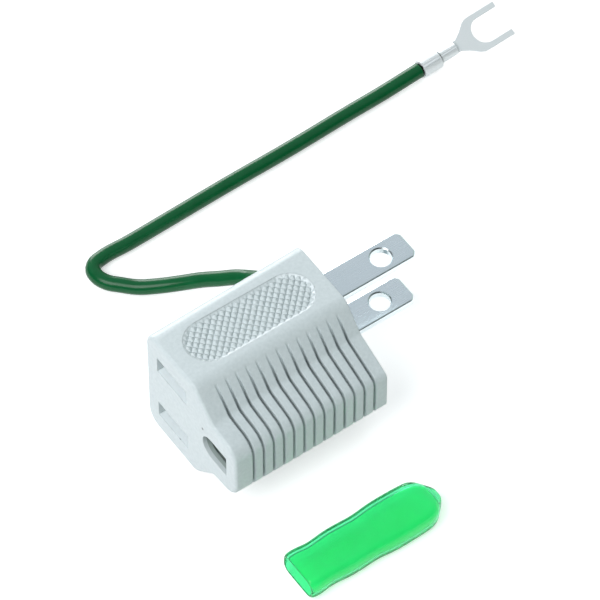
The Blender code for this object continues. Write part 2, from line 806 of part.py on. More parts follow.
def cap_ring(x, width, height):
    """A box section with round corners, in the plane at x."""
    ring = []
    radius = min(CAP_CORNER, height * CAP_CORNER_SHARE)
    for quarter in range(4):
        for i in range(CAP_CORNER_STEPS + 1):
            angle = math.radians(90 * (quarter + i / CAP_CORNER_STEPS))
            y = (width / 2 - radius) * (1 if quarter in (0, 3) else -1)
            z = (height / 2 - radius) * (1 if quarter in (0, 1) else -1)
            ring.append((x, y + radius * math.cos(angle), z + radius * math.sin(angle)))
    return ring


def terminal_cap():
    """A soft one-piece cap: the outside from its closed end to the mouth, then the inside."""
    rings = []
    sizes = [
        (-CAP_LENGTH * along / 100, CAP_WIDTH * wide / 100, CAP_HEIGHT * high / 100)
        for along, wide, high in CAP_STATIONS
    ]
    for x, width, height in sizes:
        rings.append(cap_ring(x, width, height))
    for x, width, height in reversed(sizes):
        if -x > CAP_WALL:
            rings.append(cap_ring(x, width - 2 * CAP_WALL, height - 2 * CAP_WALL))
    cap = lofted("terminal_cap", rings)
    cap.location = (CAP_X, CAP_Y, FLOOR + CAP_HEIGHT / 2 + WIRE_LIFT)
    return cap


for old in list(bpy.data.objects):
    bpy.data.objects.remove(old, do_unlink=True)

PARTS = collection(NAME, False)
CUTTERS = collection("cutters", True)

GREY_PLASTIC = material("grey_plastic", (0.62, 0.65, 0.68), 0.45)
NICKEL = material("nickel", (0.60, 0.63, 0.66), 0.28, 1.0)
BRASS = material("brass", (0.72, 0.56, 0.28), 0.35, 1.0)
STEEL = material("steel", (0.55, 0.56, 0.58), 0.35, 1.0)
TINNED = material("tinned", (0.80, 0.83, 0.85), 0.30, 1.0)
COPPER = material("copper", (0.78, 0.42, 0.26), 0.35, 1.0)
WIRE_GREEN = material("wire_green", (0.02, 0.17, 0.08), 0.40)
CAP_GREEN = material("cap_green", (0.05, 0.78, 0.25), 0.30, 0.0, 0.5)

housing = body_solid()
cut_body(housing)
finish(housing, GREY_PLASTIC)

for side, word in ((1, "upper"), (-1, "lower")):
    height = side * BLADE_Z
    finish(blade("blade_" + word, height), NICKEL)
    finish(leaf("leaf_outer_" + word, height, side), BRASS)
    finish(leaf("leaf_inner_" + word, height, -side), BRASS)
    finish(rivet("rivet_" + word, height), STEEL)

finish(earth_contact(), BRASS)

wire = earth_wire()
wire.data.materials.append(WIRE_GREEN)
PARTS.objects.link(wire)

conductor_inner = rod(
    "conductor_inner",
    (-WIRE_EXIT_X, -CONDUCTOR_START_Y, 0),
    (-WIRE_EXIT_X, -CONDUCTOR_START_Y - CONDUCTOR_INNER_LENGTH, 0),
    CONDUCTOR_RADIUS,
    16,
)
finish(conductor_inner, COPPER)

holder = bpy.data.objects.new("terminal_holder", None)
holder.matrix_world = terminal_frame()
PARTS.objects.link(holder)
fork_pieces = fork_terminal()
for piece in fork_pieces:
    piece.parent = holder
finish(fork_pieces[0], TINNED)
conductor_outer = rod(
    "conductor_outer",
    (-GRIP_START, 0, BARREL_OFFSET),
    (-BARREL_START - GAP, 0, BARREL_OFFSET),
    STRAND_RADIUS,
    16,
)
conductor_outer.parent = holder
finish(conductor_outer, COPPER)

finish(terminal_cap(), CAP_GREEN)
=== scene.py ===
"""Looks for the grounding plug adapter: finishes, the wire, the soft cap, floor, light and camera."""

import math

import bmesh
import bpy
from mathutils import Euler, Matrix, Vector

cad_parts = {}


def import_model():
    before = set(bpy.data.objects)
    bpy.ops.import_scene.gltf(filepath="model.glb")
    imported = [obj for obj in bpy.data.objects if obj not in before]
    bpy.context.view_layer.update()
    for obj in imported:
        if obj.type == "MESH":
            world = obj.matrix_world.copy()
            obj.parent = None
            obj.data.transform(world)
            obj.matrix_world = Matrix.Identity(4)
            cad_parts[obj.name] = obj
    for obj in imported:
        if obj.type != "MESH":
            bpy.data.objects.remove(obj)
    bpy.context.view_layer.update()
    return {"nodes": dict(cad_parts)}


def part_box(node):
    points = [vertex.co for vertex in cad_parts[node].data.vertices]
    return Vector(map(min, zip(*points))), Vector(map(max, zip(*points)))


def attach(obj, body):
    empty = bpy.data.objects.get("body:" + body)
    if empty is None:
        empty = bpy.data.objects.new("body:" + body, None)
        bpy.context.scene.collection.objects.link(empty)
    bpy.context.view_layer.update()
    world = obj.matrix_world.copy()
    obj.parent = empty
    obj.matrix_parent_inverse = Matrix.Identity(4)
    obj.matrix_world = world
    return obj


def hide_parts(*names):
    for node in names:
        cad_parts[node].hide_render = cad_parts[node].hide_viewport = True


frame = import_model()
NODES = frame["nodes"]

# The surface that everything lies on
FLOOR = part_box("housing")[0].z
BODY_HALF_HEIGHT = -FLOOR
FLOOR_DROP = 0.00002
FLOOR_HALF_SIZE = 0.8
FLOOR_COLOUR = (0.80, 0.80, 0.80)
FLOOR_GLOW = 0.55
WHITE = (1.0, 1.0, 1.0)

# Camera, fitted to the photograph
AZIMUTH = math.radians(-35.214)
ELEVATION = math.radians(53.983)
ROLL = math.radians(0.024)
DISTANCE = 0.84818
ASIDE = -0.00376
ABOVE = 0.00280
FOCAL_PIXELS = 5000
FRAME_PIXELS = 600
SENSOR = 36
NEAREST_SEEN = 0.01
FARTHEST_SEEN = 10

# Light: brightest overhead and to the left
KEY_PLACE = (-0.37, -0.08, 0.45)
KEY_POWER = 2.15
KEY_SIZE = 0.40
BACK_PLACE = (0.16, 0.57, 0.13)
BACK_POWER = 2.2
BACK_SIZE = 0.40

# Sky: how bright it is from its dark side to its bright one, as light and where it is mirrored
SKY_BRIGHT = (-0.45, 0.35, 0.82)
SKY_DARK_FROM = -0.15
SKY_BRIGHT_MIRRORED = (0.50, 0.50, 0.71)
SKY_DARK_FROM_MIRRORED = 0.1
SKY_FULL_FROM = 0.75
SKY_LOW_COLOUR = (0.83, 1.0, 0.91)
SKY_HIGH_COLOUR = (0.86, 0.93, 1.0)
SKY_LIGHT = (0.23, 0.50)
SKY_MIRRORED = (0.06, 0.62)

# Shading of the model's pieces
WELD_DISTANCE = 0.000002
SHARP_ANGLE = math.radians(32)
SHADER_SAMPLES = 6

# Grey plastic: painted shade in its grooves, from ambient occlusion, least on the walls that face the
# socket end, which the key lamp lights
GROOVE_REACH = 0.0009
GROOVE_SHADE = (0.36, 0.22)
GROOVE_WALL_TURN = (-0.9, -0.4)
GROOVE_WALL_SHADE = 0.45
GROOVE_PAINTED_SHADE_COLOUR = (0.006, 0.010, 0.010)

# Grey plastic: specks, painted light on the floors of the blade slots and painted shade in the earth
# mouth
SPECKS = (
    (-0.0309, -0.0092, 0.0032),
    (-0.0309, -0.0022, -0.0080),
    (-0.0120, -0.0081, BODY_HALF_HEIGHT),
)
SPECK_RADIUS = 0.00030
SPECK_SOFTNESS = 0.00008
SPECK_COLOUR = (0.08, 0.10, 0.11)
SLOTS_MIDDLE = (-0.0295, 0.0, 0.0)
SLOTS_HALF_ROOM = (0.0013, 0.0050, 0.0100)
SLOT_FLOORS_PAINTED_LIGHT_COLOUR = (0.90, 0.97, 0.99)
EARTH_MIDDLE = (-0.0264, -0.0127, 0.0)
EARTH_HALF_ROOM = (0.00375, 0.0036, 0.0036)
EARTH_MOUTH_PAINTED_SHADE_COLOUR = (0.37, 0.44, 0.425)

# Plated sheet: its lengthwise grain
GRAIN_STRETCH = (120, 2600, 2600)
GRAIN_SMOOTHER = 0.02
GRAIN_ROUGHER = 0.04

# Sunk grip panels of the housing, and the blunt pyramids in them
PANEL_LENGTH = 0.0252
PANEL_WIDTH = 0.0087
PANEL_DEPTH = 0.00045
PANEL_MIDDLE = (-0.0152, -0.0004)
PANEL_ARC_STEPS = 16
KNURL_PITCH = 0.00103
KNURL_TURN = math.radians(45)
KNURL_FIRST = (-0.01467, -0.00052)
KNURL_TOP = 0.34
KNURL_RISE = 0.00034
KNURL_LIFT = 0.00002
KNURL_BASE = BODY_HALF_HEIGHT - PANEL_DEPTH + KNURL_LIFT
KNURL_WELD = KNURL_PITCH / 100
KNURL_MARGIN = 0.00015
BANK_TOP_MARGIN = 0.00002
BANK_FOOT_MARGIN = 0.0007

# Wire: its route repeats the model's
WIRE_RADIUS = 0.0014
WIRE_LIFT = 0.00005
WIRE_AXIS = FLOOR + WIRE_RADIUS + WIRE_LIFT
WIRE_STEP = 0.0006
WIRE_ROUNDNESS = 8
WIRE_COLOURS = ((0.001, 0.088, 0.023), (0.004, 0.116, 0.036))
CURVE_PARTS = 32
EXIT_X = -0.0036
EXIT_Y = 0.0077
INNER_END_Y = -0.0079
ROUTE_FROM_BODY = (
    (-0.0036, 0.0110, FLOOR + 0.0122),
    (-0.0035, 0.0136, FLOOR + 0.0107),
    (-0.0043, 0.0164, FLOOR + 0.0087),
    (-0.0054, 0.0180, FLOOR + 0.0079),
    (-0.0074, 0.0202, FLOOR + 0.0066),
    (-0.0093, 0.0225, FLOOR + 0.0052),
    (-0.0122, 0.0252, FLOOR + 0.0035),
    (-0.0147, 0.0273, FLOOR + 0.0024),
)
ROUTE_ON_SURFACE = (
    (-0.0181, 0.0302),
    (-0.0199, 0.0320),
    (-0.0216, 0.0339),
    (-0.0223, 0.0357),
    (-0.0222, 0.0373),
    (-0.0212, 0.0384),
    (-0.0194, 0.0388),
    (-0.0140, 0.0388),
    (-0.0060, 0.0390),
    (0.0075, 0.0394),
    (0.0210, 0.0396),
    (0.0345, 0.0401),
    (0.0420, 0.0403),
)
# The wire's last free stretch: share of its length, and of the wire's radius there
WIRE_INTO_GRIP = (
    (0.30, 1.0),
    (0.60, 1.0),
    (0.82, 1.0),
    (0.90, 1.03),
    (0.98, 1.03),
    (1.0, 0.8),
)
SQUEEZED_FROM = 0.15
# Painted shadow on the wire at the mouth of the terminal's grip: its reach, softness, place and
# colour
GRIP_SHADOW_REACH = 0.00155
GRIP_SHADOW_SOFTNESS = GRIP_SHADOW_REACH / 20
GRIP_SHADOW_INSET = 0.0004
GRIP_PAINTED_SHADOW_COLOUR = (0.0, 0.015, 0.006)

# Fork terminal: its frame repeats the model's
FORK_PLACE = (0.0648, 0.0411, FLOOR + 0.0022)
FORK_TURN = (23, 0, 3)
BARREL_OFFSET = -0.0003
BARREL_START = 0.0067
BARREL_LENGTH = 0.0035
BARREL_OUTER = 0.0012
GRIP_START = 0.0106
GRIP_LENGTH = 0.0039
GRIP_OUTER = 0.0017
GRIP_ROOM = 0.0009
GRIP_CLEARANCE = 0.0003
WIRE_STRAIGHT = 0.0031
SEAM_HALF_DEGREES = 14.6
SEAM_STEPS = 8
SEAM_SINK = 0.00012
SEAM_THICKNESS = 0.0003

# Soft cap, in the place and to the outline of the model's
CAP_LENGTH = 0.0289
CAP_WIDTH = 0.0091
CAP_HEIGHT = 0.0054
CAP_PLACE = (-0.0012, -0.0354, FLOOR + CAP_HEIGHT / 2 + WIRE_LIFT)
CAP_CORNER = 0.0016
CAP_CORNER_SHARE = 0.42
CAP_CORNER_STEPS = 6
CAP_WALL = 0.0006
CAP_SMOOTHING = 2
CAP_COLOURS = ((0.12, 0.92, 0.42), (0.16, 0.96, 0.50))
# Per cent of the length, of the width and of the height, from the closed end to the mouth
CAP_STATIONS = (
    (0, 18, 16),
    (1.5, 35, 28),
    (4, 53, 46),
    (7, 73, 66),
    (9.5, 85, 84),
    (13, 93, 95),
    (17, 97, 100),
    (40, 100, 100),
    (48, 94, 94),
    (54.5, 92, 92),
    (61, 94, 95),
    (67.5, 95, 96),
    (74, 95, 95),
    (84, 88, 88),
    (89.5, 93, 92),
    (95.5, 96, 93),
    (100, 93, 86),
)


def put(tree, source, socket):
    """Links a socket to its source, or sets it to a plain value or colour."""
    if isinstance(source, bpy.types.NodeSocket):
        tree.links.new(source, socket)
    elif socket.type == "RGBA":
        socket.default_value = (*source, 1)
    else:
        socket.default_value = source


def put_all(tree, target, sources):
    """Links or sets a node's sockets by their names or numbers."""
    for name, source in sources.items():
        put(tree, source, target.inputs[name])


def node(tree, kind, sources=(), **settings):
    """A new node with its settings, and its sockets linked or set."""
    made = tree.nodes.new(kind)
    for name, value in settings.items():
        setattr(made, name, value)
    put_all(tree, made, dict(sources))
    return made


def maths(tree, operation, first, second, clamp=False):
    """The outcome of an operation on two values."""
    made = node(
        tree, "ShaderNodeMath", {0: first, 1: second}, operation=operation, use_clamp=clamp
    )
    return made.outputs[0]


def vector_maths(tree, operation, first, second=(0, 0, 0), result="Vector"):
    """The outcome of an operation on two vectors."""
    made = node(tree, "ShaderNodeVectorMath", {0: first, 1: second}, operation=operation)
    return made.outputs[result]


def mixed(tree, share, low, high, kind="RGBA"):
    """One colour or another by a share, or one value or another where the kind is VALUE."""
    mix = tree.nodes.new("ShaderNodeMix")
    mix.data_type = "RGBA" if kind == "RGBA" else "FLOAT"
    put(tree, share, mix.inputs["Factor"])
    ends = [socket for socket in mix.inputs if socket.name in ("A", "B") and socket.type == kind]
    for socket, source in zip(ends, (low, high)):
        put(tree, source, socket)
    return [out for out in mix.outputs if out.type == kind][0]


def spread(tree, source, low, high, start=0.0, end=1.0, smooth=False):
    """A value that goes from low to high while its source goes from start to end."""
    reach = {"Value": source, "From Min": start, "From Max": end, "To Min": low, "To Max": high}
    way = "SMOOTHSTEP" if smooth else "LINEAR"
    return node(tree, "ShaderNodeMapRange", reach, interpolation_type=way).outputs["Result"]


def object_place(tree):
    """The place on the piece, in its own metres."""
    return tree.nodes.new("ShaderNodeTexCoord").outputs["Object"]


def speckle(tree, scale, detail=2.0):
    """A noise over the piece."""
    sources = {"Vector": object_place(tree), "Scale": scale, "Detail": detail}
    return node(tree, "ShaderNodeTexNoise", sources).outputs["Fac"]


def bump(tree, height, distance, strength, edge=0.0):
    """A bump from a height, over an edge that looks rounded by the given radius."""
    sources = {"Height": height, "Distance": distance, "Strength": strength}
    made = node(tree, "ShaderNodeBump", sources)
    if edge:
        bevel = node(tree, "ShaderNodeBevel", {"Radius": edge}, samples=SHADER_SAMPLES)
        put(tree, bevel.outputs["Normal"], made.inputs["Normal"])
    return made.outputs["Normal"]


def spots(tree, places, radius, softness):
    """1 inside the small spots, 0 outside them."""
    here = object_place(tree)
    away = [vector_maths(tree, "DISTANCE", here, Vector(place), "Value") for place in places]
    nearest = away[0]
    for other in away[1:]:
        nearest = maths(tree, "MINIMUM", nearest, other)
    return spread(tree, nearest, 0.0, 1.0, radius, radius - softness)


def room(tree, middle, half_sizes, share=1.0):
    """The share inside a box, 0 outside it."""
    away = vector_maths(tree, "SUBTRACT", object_place(tree), middle)
    size = vector_maths(tree, "ABSOLUTE", vector_maths(tree, "DIVIDE", away, half_sizes))
    axes = node(tree, "ShaderNodeSeparateXYZ", {"Vector": size})
    for axis in "XYZ":
        inside = maths(tree, "LESS_THAN", axes.outputs[axis], 1.0)
        share = maths(tree, "MULTIPLY", share, inside, clamp=True)
    return share


def new_material(name):
    """A node material, its tree and its Principled shader."""
    made = bpy.data.materials.new(name)
    made.use_nodes = True
    return made, made.node_tree, made.node_tree.nodes["Principled BSDF"]


def grey_plastic(name, dark, light):
    """Moulded pale grey plastic: mottle and grain, painted shade in its grooves and earth mouth,
    painted light on its slot floors, with a few specks.
    """
    made, tree, surface = new_material(name)
    hollow = node(
        tree, "ShaderNodeAmbientOcclusion", {"Distance": GROOVE_REACH}, samples=SHADER_SAMPLES
    )
    painted_groove_shade = spread(tree, hollow.outputs["AO"], 0.0, 1.0, *GROOVE_SHADE, smooth=True)
    facing = tree.nodes.new("ShaderNodeNewGeometry").outputs["Normal"]
    axes = node(tree, "ShaderNodeSeparateXYZ", {"Vector": facing})
    shade_left_on_walls = spread(tree, axes.outputs["X"], GROOVE_WALL_SHADE, 1.0, *GROOVE_WALL_TURN)
    colour = mixed(tree, speckle(tree, scale=1700, detail=5.0), dark, light)
    for share, other in (
        # Painted shade in the grooves, lighter on the walls that face the key lamp
        (maths(tree, "MULTIPLY", painted_groove_shade, shade_left_on_walls), GROOVE_PAINTED_SHADE_COLOUR),
        (spots(tree, SPECKS, SPECK_RADIUS, SPECK_SOFTNESS), SPECK_COLOUR),
        # Painted light on the upward floors of the blade slots
        (room(tree, SLOTS_MIDDLE, SLOTS_HALF_ROOM, axes.outputs["Z"]), SLOT_FLOORS_PAINTED_LIGHT_COLOUR),
        # Painted shade inside the earth mouth
        (room(tree, EARTH_MIDDLE, EARTH_HALF_ROOM), EARTH_MOUTH_PAINTED_SHADE_COLOUR),
    ):
        colour = mixed(tree, share, colour, other)
    grain = speckle(tree, scale=3200, detail=3.0)
    finish = {
        "Base Color": colour,
        "Roughness": spread(tree, speckle(tree, scale=700), low=0.34, high=0.44),
        "Normal": bump(tree, grain, distance=0.00003, strength=0.3, edge=0.00018),
    }
    put_all(tree, surface, finish)
    return made


def plated(name, dark, light, rough, edge, metal=1.0):
    """Plated sheet: a fine lengthwise grain."""
    made, tree, surface = new_material(name)
    stretch = node(
        tree, "ShaderNodeMapping", {"Vector": object_place(tree), "Scale": GRAIN_STRETCH}
    )
    noise = {"Vector": stretch.outputs["Vector"], "Scale": 1.0, "Detail": 3.0}
    grain = node(tree, "ShaderNodeTexNoise", noise).outputs["Fac"]
    finish = {
        "Base Color": mixed(tree, speckle(tree, scale=420), dark, light),
        "Roughness": spread(tree, grain, rough - GRAIN_SMOOTHER, rough + GRAIN_ROUGHER),
        "Normal": bump(tree, grain, distance=0.000002, strength=0.04, edge=edge),
        "Metallic": metal,
    }
    put_all(tree, surface, finish)
    return made


def wire_green(grip_shadow_centre):
    """Glossy green insulation with a faint drawn waviness, and a painted shadow where it goes into
    the terminal's grip.
    """
    made, tree, surface = new_material("wire_green")
    green = mixed(tree, speckle(tree, scale=380), *WIRE_COLOURS)
    # Painted shadow round the wire where the terminal's grip covers it
    rim = spots(tree, (grip_shadow_centre,), GRIP_SHADOW_REACH, GRIP_SHADOW_SOFTNESS)
    waves = speckle(tree, scale=1500, detail=3.0)
    finish = {
        "Base Color": mixed(tree, rim, green, GRIP_PAINTED_SHADOW_COLOUR),
        "Roughness": spread(tree, speckle(tree, scale=900), low=0.17, high=0.27),
        "Normal": bump(tree, waves, distance=0.00004, strength=0.3),
        "Specular IOR Level": 0.28,
    }
    put_all(tree, surface, finish)
    return made


def cap_green():
    """Soft translucent vinyl."""
    made, tree, surface = new_material("cap_green")
    finish = {
        "Base Color": mixed(tree, speckle(tree, scale=240), *CAP_COLOURS),
        "Roughness": spread(tree, speckle(tree, scale=500), low=0.10, high=0.18),
        "Normal": bump(tree, speckle(tree, scale=700), distance=0.00006, strength=0.2),
        "Transmission Weight": 0.88,
        "IOR": 1.33,
    }
    put_all(tree, surface, finish)
    return made


def smooth_by_angle():
    """A node group that shades faces smooth and keeps their sharp edges."""
    known = bpy.data.node_groups.get("smooth_by_angle")
    if known:
        return known
    group = bpy.data.node_groups.new("smooth_by_angle", "GeometryNodeTree")
    group.interface.new_socket("Geometry", in_out="INPUT", socket_type="NodeSocketGeometry")
    group.interface.new_socket("Geometry", in_out="OUTPUT", socket_type="NodeSocketGeometry")
    mesh = node(group, "NodeGroupInput").outputs[0]
    angle = node(group, "GeometryNodeInputMeshEdgeAngle").outputs["Unsigned Angle"]
    small = node(group, "FunctionNodeCompare", data_type="FLOAT", operation="LESS_THAN")
    put_all(group, small, {"A": angle, "B": SHARP_ANGLE})
    plain = node(
        group, "GeometryNodeRemoveAttribute", {"Geometry": mesh, "Name": "custom_normal"}
    )
    faces = {"Geometry": plain.outputs["Geometry"]}
    shaded = node(group, "GeometryNodeSetShadeSmooth", faces, domain="FACE")
    edges = {"Geometry": shaded.outputs["Geometry"], "Shade Smooth": small.outputs["Result"]}
    kept = node(group, "GeometryNodeSetShadeSmooth", edges, domain="EDGE")
    node(group, "NodeGroupOutput", {0: kept.outputs["Geometry"]})
    return group


def dress(names, material):
    """Gives CAD nodes a material and shades them smooth up to their sharp edges."""
    for name in names:
        obj = NODES[name]
        obj.data.materials.clear()
        obj.data.materials.append(material)
        weld = obj.modifiers.new("weld", "WELD")
        weld.merge_threshold = WELD_DISTANCE
        smooth = obj.modifiers.new("smooth", "NODES")
        smooth.node_group = smooth_by_angle()
        weighted = obj.modifiers.new("weighted", "WEIGHTED_NORMAL")
        weighted.keep_sharp = True


def link(obj, material):
    """Puts a new piece in the scene, on the body, with its finish."""
    bpy.context.scene.collection.objects.link(obj)
    obj.data.materials.append(material)
    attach(obj, "root")
    return obj


def bridge(bm, lower, higher):
    """Faces between two rings that have as many vertices."""
    faces = []
    for i, vert in enumerate(lower):
        following = (i + 1) % len(lower)
        faces.append(bm.faces.new((vert, lower[following], higher[following], higher[i])))
    return faces


def closed_mesh(name, bm):
    """A mesh from the bmesh, with its faces turned outwards."""
    bmesh.ops.recalc_face_normals(bm, faces=bm.faces)
    mesh = bpy.data.meshes.new(name)
    bm.to_mesh(mesh)
    bm.free()
    return mesh


def panel_outline(margin):
    """The sunk panel's outline, anticlockwise, moved in from its wall by the margin."""
    radius = PANEL_WIDTH / 2 - margin
    middle = Vector((*PANEL_MIDDLE, 0))
    outline = []
    for end in (1, -1):
        for i in range(PANEL_ARC_STEPS + 1):
            angle = math.radians(180 * i / PANEL_ARC_STEPS - 90 * end)
            centre = middle + Vector((end * (PANEL_LENGTH - PANEL_WIDTH) / 2, 0, 0))
            outline.append(centre + radius * Vector((math.cos(angle), math.sin(angle), 0)))
    return outline


def pyramid(bm, middle, turn):
    """A blunt pyramid without a base."""
    half = KNURL_PITCH / 2
    foot = []
    top = []
    for x, y in ((-half, -half), (half, -half), (half, half), (-half, half)):
        foot.append(bm.verts.new(middle + turn @ Vector((x, y, 0))))
        corner = Vector((x * KNURL_TOP, y * KNURL_TOP, KNURL_RISE))
        top.append(bm.verts.new(middle + turn @ corner))
    bm.faces.new(top)
    bridge(bm, foot, top)


def trim_to_panel(bm):
    """Cuts the sheet of pyramids to the panel's outline and closes it down to the base."""
    outline = panel_outline(KNURL_MARGIN)
    for start, end in zip(outline, outline[1:] + outline[:1]):
        outward = (end - start).cross(Vector((0, 0, 1)))
        everything = [*bm.verts, *bm.edges, *bm.faces]
        bmesh.ops.bisect_plane(
            bm, geom=everything, plane_co=start, plane_no=outward, clear_outer=True
        )
    rim = [edge for edge in bm.edges if edge.is_boundary]
    below = {}
    for edge in rim:
        for vert in edge.verts:
            if vert not in below:
                below[vert] = bm.verts.new((vert.co.x, vert.co.y, KNURL_BASE))
        near, far = edge.verts
        bm.faces.new((near, far, below[far], below[near]))
    bmesh.ops.holes_fill(bm, edges=[edge for edge in bm.edges if edge.is_boundary])


def add_bank(bm):
    """A slope from the pyramids up to the panel's rim, with a painted highlight on its near side and
    right end.
    """
    rings = []
    for margin, height in (
        (BANK_FOOT_MARGIN, KNURL_BASE),
        (BANK_FOOT_MARGIN, KNURL_BASE + 2 * KNURL_LIFT),
        (BANK_TOP_MARGIN, BODY_HALF_HEIGHT - KNURL_LIFT),
        (BANK_TOP_MARGIN, KNURL_BASE),
    ):
        rings.append([bm.verts.new((x, y, height)) for x, y, _ in panel_outline(margin)])
    for lower, higher in zip(rings, rings[1:] + rings[:1]):
        last = len(lower) - 1
        for i, face in enumerate(bridge(bm, lower, higher)):
            # Paler material on the near side and right end: a painted highlight
            face.material_index = int(i < PANEL_ARC_STEPS or i == last)


def knurl_mesh():
    """Blunt pyramids side by side in slanting rows, with a bank up to the panel's rim."""
    bm = bmesh.new()
    rows = math.ceil(PANEL_LENGTH / KNURL_PITCH)
    turn = Matrix.Rotation(KNURL_TURN, 4, "Z")
    first = Vector((*KNURL_FIRST, KNURL_BASE + KNURL_LIFT))
    for row in range(-rows, rows + 1):
        for column in range(-rows, rows + 1):
            middle = first + turn @ Vector((row * KNURL_PITCH, column * KNURL_PITCH, 0))
            if abs(middle.y - PANEL_MIDDLE[1]) <= PANEL_WIDTH / 2 + KNURL_PITCH:
                pyramid(bm, middle, turn)
    bmesh.ops.remove_doubles(bm, verts=bm.verts, dist=KNURL_WELD)
    trim_to_panel(bm)
    add_bank(bm)
    return closed_mesh("knurl", bm)


def grip_reliefs(material, rim_highlight_material):
    """The pyramids in the top panel, and their mirror image in the bottom one."""
    upper = knurl_mesh()
    lower = upper.copy()
    lower.transform(Matrix.Diagonal((1, 1, -1, 1)))
    lower.flip_normals()
    for name, mesh in (("grip_relief_top", upper), ("grip_relief_bottom", lower)):
        relief = link(bpy.data.objects.new(name, mesh), material)
        # Second material: paler plastic, a painted highlight on the bank
        relief.data.materials.append(rim_highlight_material)


def smooth_route(points, step):
    """Evenly spaced points of a smooth curve through the route's own points."""
    lengths = [(b - a).length for a, b in zip(points, points[1:])]
    slopes = [(b - a) / gone for a, b, gone in zip(points, points[1:], lengths)]
    tangents = [slopes[0]]
    for i in range(1, len(slopes)):
        behind = lengths[i - 1]
        ahead = lengths[i]
        tangents.append((slopes[i - 1] * ahead + slopes[i] * behind) / (behind + ahead))
    tangents.append(slopes[-1])
    fine = []
    for i, gone in enumerate(lengths):
        for part in range(CURVE_PARTS):
            t = part / CURVE_PARTS
            fine.append(
                points[i] * (2 * t**3 - 3 * t**2 + 1)
                + tangents[i] * (gone * (t**3 - 2 * t**2 + t))
                + points[i + 1] * (3 * t**2 - 2 * t**3)
                + tangents[i + 1] * (gone * (t**3 - t**2))
            )
    fine.append(points[-1])
    return evenly_spaced(fine, step)


def evenly_spaced(fine, step):
    """Points about a step apart along a fine polyline."""
    total = route_length(fine)
    count = round(total / step)
    even = [fine[0]]
    walked = 0.0
    for a, b in zip(fine, fine[1:]):
        gone = (b - a).length
        while len(even) < count and walked + gone >= total / count * len(even):
            even.append(a.lerp(b, (total / count * len(even) - walked) / gone))
        walked += gone
    even.append(fine[-1])
    return even


def route_length(points):
    """The length of a polyline."""
    return sum((b - a).length for a, b in zip(points, points[1:]))


def fork_frame():
    """The fork terminal's place on the surface, as a matrix."""
    turn = Euler([math.radians(angle) for angle in FORK_TURN]).to_matrix().to_4x4()
    return Matrix.Translation(FORK_PLACE) @ turn


def behind_fork(away):
    """A point on the middle line of the terminal's barrel and grip."""
    return fork_frame() @ Vector((-away, 0, BARREL_OFFSET))


def wire_piece():
    """The insulated wire, squeezed where the terminal's grip holds it."""
    grip_end = GRIP_START + GRIP_LENGTH
    grip_front = behind_fork(GRIP_START + GRIP_CLEARANCE)
    grip_back = behind_fork(grip_end + GRIP_CLEARANCE)
    free_end = behind_fork(grip_end + WIRE_STRAIGHT)
    exit_point = Vector((EXIT_X, EXIT_Y, 0))
    points = [Vector((EXIT_X, INNER_END_Y, 0)), Vector((EXIT_X, 0, 0)), exit_point]
    points += [Vector(point) for point in ROUTE_FROM_BODY]
    points += [Vector((x, y, WIRE_AXIS)) for x, y in ROUTE_ON_SURFACE]
    route = smooth_route([*points, free_end], WIRE_STEP)
    radii = [1.0] * len(route)
    for share, radius in WIRE_INTO_GRIP:
        route.append(free_end.lerp(grip_back, share))
        radii.append(radius)
    squeezed = GRIP_ROOM / WIRE_RADIUS
    route += [grip_back.lerp(grip_front, SQUEEZED_FROM), grip_front]
    radii += [squeezed, squeezed]
    curve = bpy.data.curves.new("wire", "CURVE")
    curve.dimensions = "3D"
    curve.bevel_depth = WIRE_RADIUS
    curve.bevel_resolution = WIRE_ROUNDNESS
    curve.use_fill_caps = True
    spline = curve.splines.new("POLY")
    spline.points.add(len(route) - 1)
    for point, at, radius in zip(spline.points, route, radii):
        point.co = (*at, 1)
        point.radius = radius
    spline.use_smooth = True
    grip_shadow_centre = grip_back.lerp(grip_front, GRIP_SHADOW_INSET / GRIP_LENGTH)
    wire = link(bpy.data.objects.new("wire", curve), wire_green(grip_shadow_centre))
    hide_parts("earth_wire")


def seam_section(bm, x, outer):
    """The closed section of a seam's strip at x: along its hollow top and back underneath."""
    upper = []
    lower = []
    for i in range(SEAM_STEPS + 1):
        share = 2 * i / SEAM_STEPS - 1
        angle = math.radians(SEAM_HALF_DEGREES * share)
        across = Vector((0, math.sin(angle), math.cos(angle)))
        middle = Vector((x, 0, BARREL_OFFSET))
        top = outer - SEAM_SINK * (1 - abs(share)) ** 2
        upper.append(bm.verts.new(middle + across * top))
        lower.append(bm.verts.new(middle + across * (outer - SEAM_THICKNESS)))
    return upper + lower[::-1]


def crimp_seams(material):
    """The edges of the terminal's rolled sheet, which meet in a shallow groove on top."""
    bm = bmesh.new()
    for start, length, outer in (
        (BARREL_START, BARREL_LENGTH, BARREL_OUTER),
        (GRIP_START, GRIP_LENGTH, GRIP_OUTER),
    ):
        back = seam_section(bm, -start - length, outer)
        front = seam_section(bm, -start, outer)
        bm.faces.new(back)
        bm.faces.new(front)
        bridge(bm, back, front)
    mesh = closed_mesh("crimp_seams", bm)
    mesh.transform(fork_frame())
    link(bpy.data.objects.new("crimp_seams", mesh), material)


def cap_ring(x, width, height):
    """A box section with round corners, in the plane at x."""
    ring = []
    radius = min(CAP_CORNER, height * CAP_CORNER_SHARE)
    for quarter in range(4):
        for i in range(CAP_CORNER_STEPS + 1):
            angle = math.radians(90 * (quarter + i / CAP_CORNER_STEPS))
            y = (width / 2 - radius) * (1 if quarter in (0, 3) else -1)
            z = (height / 2 - radius) * (1 if quarter in (0, 1) else -1)
            ring.append((x, y + radius * math.cos(angle), z + radius * math.sin(angle)))
    return ring


